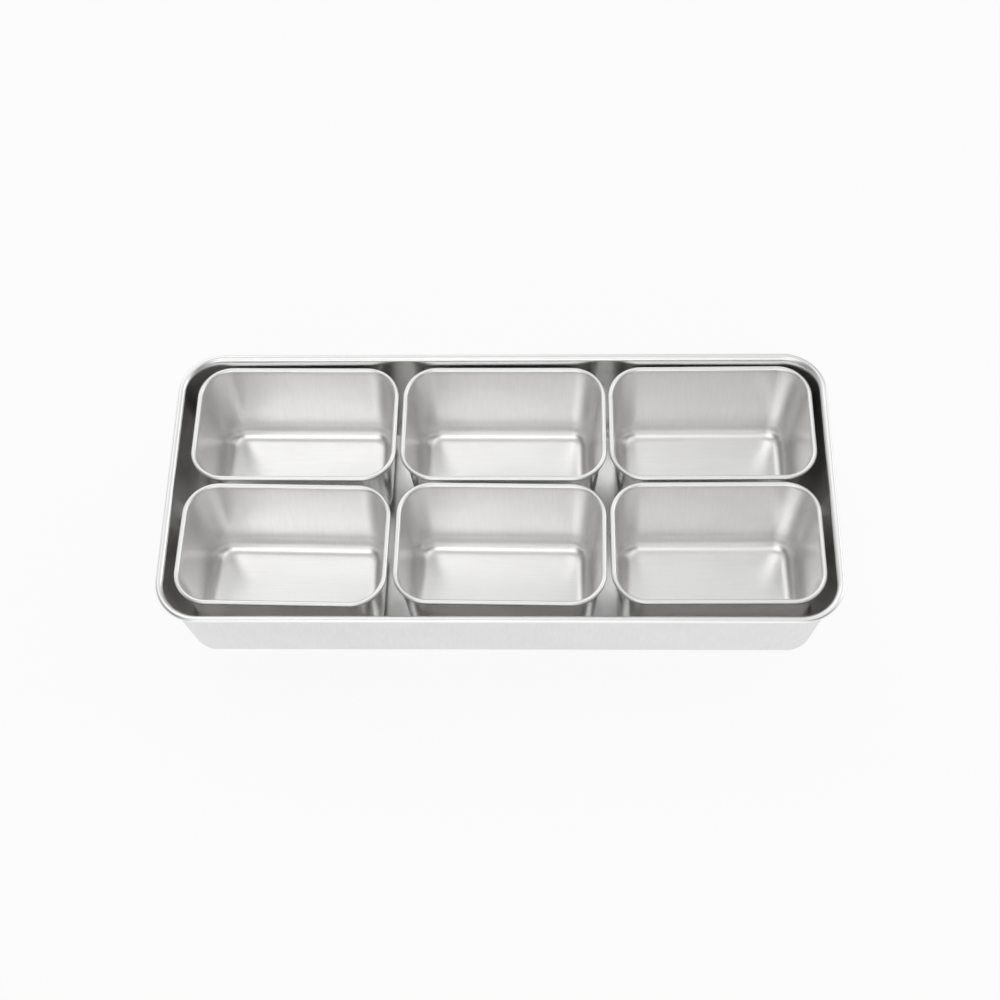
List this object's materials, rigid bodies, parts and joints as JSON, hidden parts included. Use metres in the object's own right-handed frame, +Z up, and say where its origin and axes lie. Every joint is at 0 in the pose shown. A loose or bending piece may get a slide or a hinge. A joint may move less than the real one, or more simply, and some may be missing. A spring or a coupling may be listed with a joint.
{
  "type": "condiment tray",
  "caption": "Rectangular pressed-steel tray with a rolled rim in which loose, open-topped condiment pans stand in rows; each pan lifts straight out.",
  "frame": {"origin": "middle of the tray's underside, where it rests on a table", "axes": "+X along the tray's length, +Y to its back, +Z up"},
  "size_m": [0.3746, 0.1704, 0.069],
  "materials": {
    "tray_steel": "bright stainless sheet, polished rim and walls",
    "pan_steel": "satin stainless sheet, bright rolled rim"
  },
  "bodies": {
    "tray": {"tray": "tray_steel"},
    "pan_back_left": {"pan_back_left": "pan_steel"},
    "pan_back_middle": {"pan_back_middle": "pan_steel"},
    "pan_back_right": {"pan_back_right": "pan_steel"},
    "pan_front_left": {"pan_front_left": "pan_steel"},
    "pan_front_middle": {"pan_front_middle": "pan_steel"},
    "pan_front_right": {"pan_front_right": "pan_steel"}
  },
  "joints": [
    {"name": "pan_back_left_lift", "type": "slide", "parent": "tray", "child": "pan_back_left", "axis": [0, 0, 1], "range_m": [0, 0.08]},
    {"name": "pan_back_middle_lift", "type": "slide", "parent": "tray", "child": "pan_back_middle", "axis": [0, 0, 1], "range_m": [0, 0.08]},
    {"name": "pan_back_right_lift", "type": "slide", "parent": "tray", "child": "pan_back_right", "axis": [0, 0, 1], "range_m": [0, 0.08]},
    {"name": "pan_front_left_lift", "type": "slide", "parent": "tray", "child": "pan_front_left", "axis": [0, 0, 1], "range_m": [0, 0.08]},
    {"name": "pan_front_middle_lift", "type": "slide", "parent": "tray", "child": "pan_front_middle", "axis": [0, 0, 1], "range_m": [0, 0.08]},
    {"name": "pan_front_right_lift", "type": "slide", "parent": "tray", "child": "pan_front_right", "axis": [0, 0, 1], "range_m": [0, 0.08]}
  ]
}
